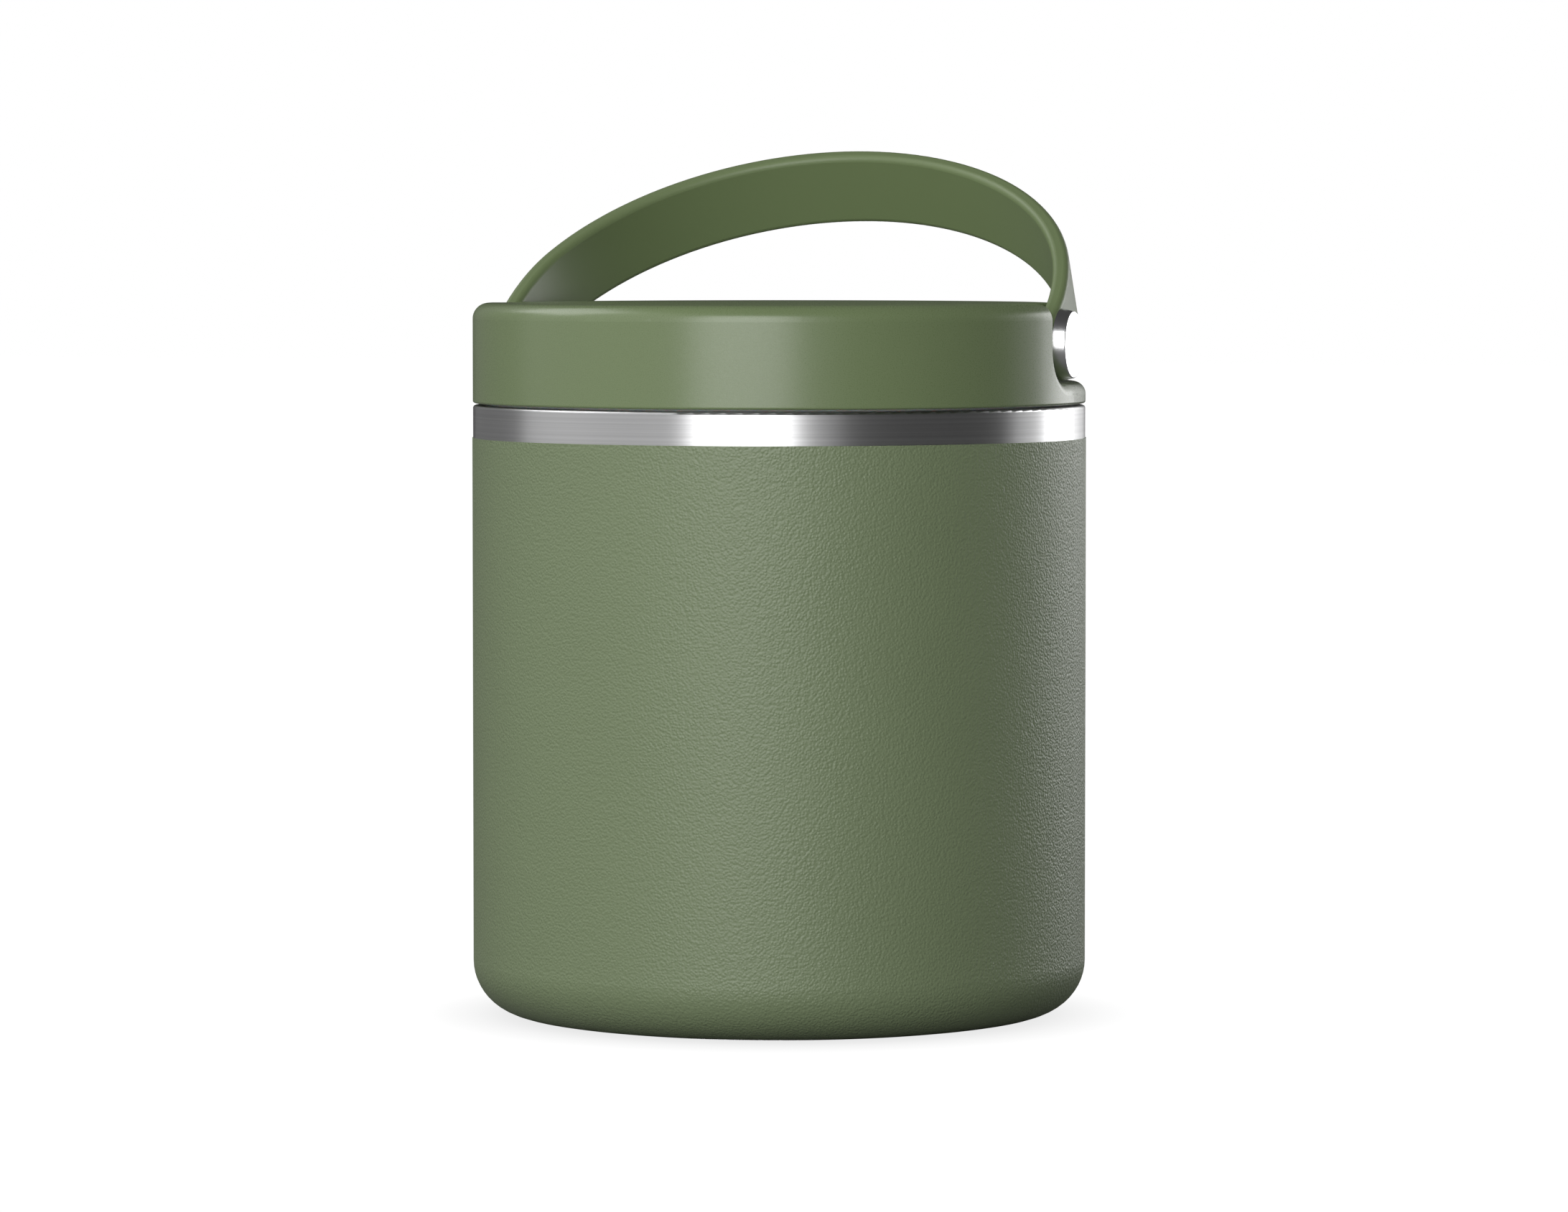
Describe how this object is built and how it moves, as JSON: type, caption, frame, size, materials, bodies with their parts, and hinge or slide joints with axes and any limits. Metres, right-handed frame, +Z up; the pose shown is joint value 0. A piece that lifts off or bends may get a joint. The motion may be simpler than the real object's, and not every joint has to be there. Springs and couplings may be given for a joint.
{
  "type": "insulated food jar",
  "caption": "Wide-mouth double-walled steel food jar with a bare steel band, a screw lid and a strap handle that swings on two steel buttons.",
  "frame": {"origin": "centre of the foot ring, on the surface that the jar stands on", "axes": "+Z up along the jar's axis, X along the handle's pivot line, +Y towards the side that the handle leans and folds to"},
  "size_m": [0.108, 0.108, 0.1525],
  "materials": {
    "bare_steel": "satin",
    "powder_coat": "matte",
    "base_steel": "satin",
    "seal_glass": "gloss",
    "liner_steel": "satin",
    "getter_metal": "matte",
    "lid_plastic": "satin",
    "plug_plastic": "satin",
    "foam": "matte",
    "silicone": "satin",
    "handle_plastic": "satin",
    "button_steel": "polished",
    "washer_plastic": "matte",
    "insert_brass": "satin"
  },
  "bodies": {
    "jar": {"outer_shell": "bare_steel", "powder_coat": "powder_coat", "outer_base": "base_steel", "base_cover": "base_steel", "vacuum_seal": "seal_glass", "inner_liner": "liner_steel", "inner_base": "liner_steel", "getter": "getter_metal", "getter_clip": "liner_steel"},
    "lid_core": {"lid_insulation": "foam"},
    "lid": {"lid_shell": "lid_plastic", "lid_plug": "plug_plastic", "lid_gasket": "silicone", "pivot_button_right": "button_steel", "pivot_button_left": "button_steel", "pivot_washer_right": "washer_plastic", "pivot_washer_left": "washer_plastic", "stud_insert_right": "insert_brass", "stud_insert_left": "insert_brass"},
    "handle": {"handle_strap": "handle_plastic", "pivot_bush_right": "liner_steel", "pivot_bush_left": "liner_steel"}
  },
  "joints": [
    {"name": "lid_rise", "type": "slide", "parent": "jar", "child": "lid_core", "axis": [0, 0, 1], "range_m": [0, 0.017]},
    {"name": "lid_turn", "type": "hinge", "parent": "lid_core", "child": "lid", "pos_m": [0, 0, 0.1], "axis": [0, 0, 1], "range_deg": [0, 1008]},
    {"name": "handle_swing", "type": "hinge", "parent": "lid", "child": "handle", "pos_m": [0, 0, 0.1182], "axis": [-1, 0, 0], "range_deg": [-78, 28]}
  ],
  "couplings": [
    {"joint": "lid_rise", "follows": "lid_turn", "m_per_rad": 0.00095493}
  ]
}
